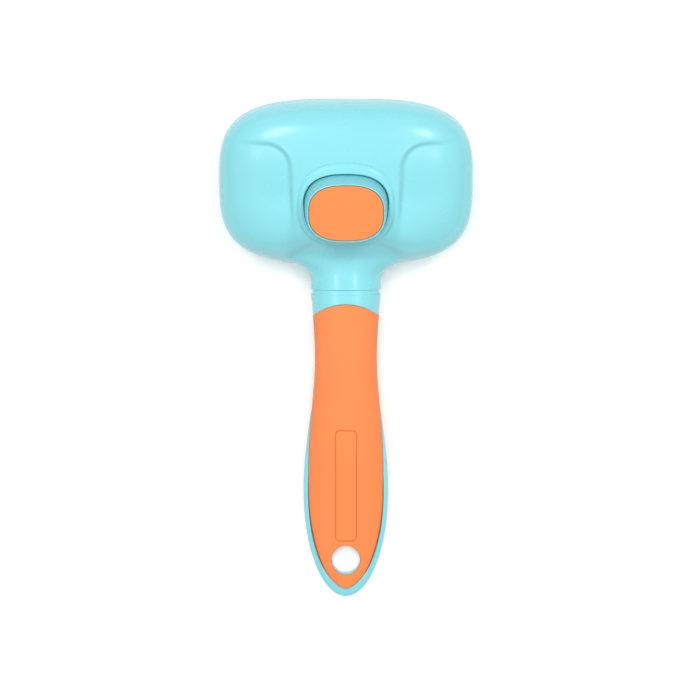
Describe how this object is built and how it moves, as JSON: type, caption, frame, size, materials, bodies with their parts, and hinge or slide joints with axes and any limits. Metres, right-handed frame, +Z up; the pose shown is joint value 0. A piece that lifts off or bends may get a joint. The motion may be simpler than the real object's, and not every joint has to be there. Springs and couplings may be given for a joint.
{
  "type": "deshedding tool",
  "caption": "Self-cleaning slicker brush for pets: oval padded head with bent wire pins, a push button on the back that drives an ejector plate, and a long two-tone grip with a hanging hole.",
  "frame": {"origin": "middle of the underside of the whole brush as it lies on a table, pins down", "axes": "+Z up, +Y from the end of the handle to the far edge of the head, +X across the brush"},
  "size_m": [0.1022, 0.2002, 0.0578],
  "materials": {
    "body_plastic": "satin",
    "grip_rubber": "matte",
    "inner_plastic": "satin",
    "pin_steel": "polished wire",
    "bead_resin": "glossy",
    "screw_steel": "zinc plated",
    "spring_steel": "bright wire"
  },
  "bodies": {
    "brush": {"rear_housing": "body_plastic", "front_housing": "body_plastic", "pin_carrier": "inner_plastic", "pin_backing_plate": "inner_plastic", "bristle_pins": "pin_steel", "bristle_tips": "bead_resin", "support_pins": "pin_steel", "support_tips": "bead_resin", "carrier_screws": "screw_steel", "housing_screws": "screw_steel", "return_spring_left": "spring_steel", "return_spring_right": "spring_steel", "handle_core": "body_plastic", "upper_grip": "grip_rubber", "lower_grip": "grip_rubber", "neck_screw": "screw_steel", "neck_screw_cap": "body_plastic"},
    "ejector": {"button_shell": "body_plastic", "button_pad": "grip_rubber", "pusher_yoke": "inner_plastic", "button_screws": "screw_steel", "ejector_plate": "body_plastic", "ejector_screws": "screw_steel"}
  },
  "joints": [
    {"name": "button_press", "type": "slide", "parent": "brush", "child": "ejector", "axis": [0, 0.3412, -0.94], "range_m": [0, 0.008], "stiffness_N_per_m": 800, "springref_m": -0.004, "deforming": ["return_spring_left", "return_spring_right"]}
  ]
}
